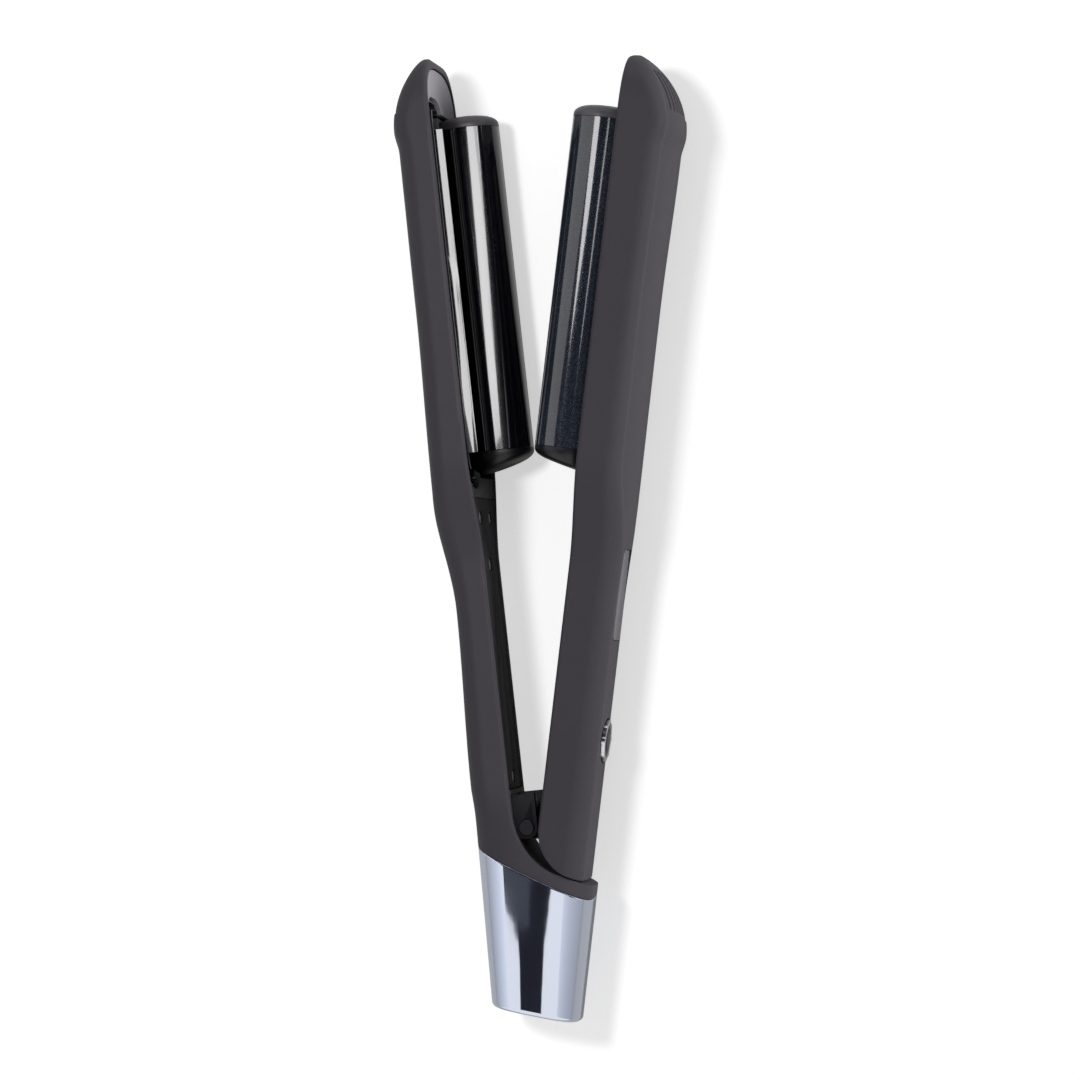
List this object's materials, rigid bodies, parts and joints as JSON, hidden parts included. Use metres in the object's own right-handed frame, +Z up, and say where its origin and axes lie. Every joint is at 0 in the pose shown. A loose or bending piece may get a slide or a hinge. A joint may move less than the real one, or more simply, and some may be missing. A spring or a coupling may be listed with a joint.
{
  "type": "hair waver",
  "caption": "Deep hair waver with two hinged arms, a heated barrel and a matching trough on each, a display, a dial with a power button, and a bright tail cap.",
  "frame": {"origin": "mouth of the cord inlet at the tail's end, on the inlet's axis", "axes": "+Y from the tail to the noses, +Z up while the tool lies on its side, +X towards the arm with the display; the arms close on the plane X = -2.1 mm"},
  "size_m": [0.0967, 0.3188, 0.051],
  "materials": {
    "housing": "soft-touch matt",
    "inner_cover": "fine matt grain",
    "head_frame": "fine matt grain",
    "trough": "gloss ceramic coating",
    "black_barrel": "gloss ceramic coating with fine sparkle",
    "blue_barrel": "gloss ceramic coating with blue grey sparkle",
    "barrel_cap": "satin",
    "aluminium": "extruded",
    "ceramic": "fired ceramic",
    "steel": "bright",
    "hinge": "black, glass filled",
    "chrome": "mirror plated",
    "board": "solder mask",
    "window": "smoked gloss",
    "module": "matt",
    "gland": "moulded",
    "dial": "soft-touch matt"
  },
  "bodies": {
    "left_arm": {"left_housing": "housing", "left_handle_cover": "inner_cover", "left_head_frame": "head_frame", "left_trough": "trough", "left_barrel": "black_barrel", "left_tip_cap": "barrel_cap", "left_root_cap": "barrel_cap", "left_heat_spreader": "aluminium", "left_ceramic_heater": "ceramic", "left_thermistor": "ceramic", "left_thermal_fuse": "steel", "left_cover_screws": "steel", "left_hinge_bracket": "hinge", "hinge_pin": "steel", "pin_clip": "steel", "arm_spring": "steel", "tail_cap": "chrome", "gland_bushing": "gland"},
    "right_arm": {"right_housing": "housing", "right_handle_cover": "inner_cover", "right_head_frame": "head_frame", "right_trough": "trough", "right_barrel": "blue_barrel", "right_tip_cap": "barrel_cap", "right_root_cap": "barrel_cap", "right_heat_spreader": "aluminium", "right_ceramic_heater": "ceramic", "right_thermistor": "ceramic", "right_thermal_fuse": "steel", "right_cover_screws": "steel", "right_hinge_bracket": "hinge", "control_board": "board", "display_module": "module", "display_window": "window", "dial_encoder": "steel", "button_switch": "module"},
    "cord_swivel": {"cord_gland": "gland"},
    "dial": {"temperature_dial": "dial", "dial_rim": "chrome"},
    "button": {"power_button": "dial"}
  },
  "joints": [
    {"name": "arm_hinge", "type": "hinge", "parent": "left_arm", "child": "right_arm", "pos_m": [-0.0021, 0.062, 0], "axis": [0, 0, 1], "range_deg": [0, 13.1], "stiffness_Nm_per_rad": 0.6},
    {"name": "cord_swivel_turn", "type": "hinge", "parent": "left_arm", "child": "cord_swivel", "pos_m": [0, 0, 0], "axis": [0, 1, 0], "continuous": true},
    {"name": "dial_turn", "type": "hinge", "parent": "right_arm", "child": "dial", "pos_m": [0.0222, 0.09041, 0], "axis": [0.9935, -0.1141, 0], "continuous": true},
    {"name": "power_press", "type": "slide", "parent": "right_arm", "child": "button", "axis": [-0.9935, 0.1141, 0], "range_m": [0, 0.0008], "stiffness_N_per_m": 300}
  ]
}
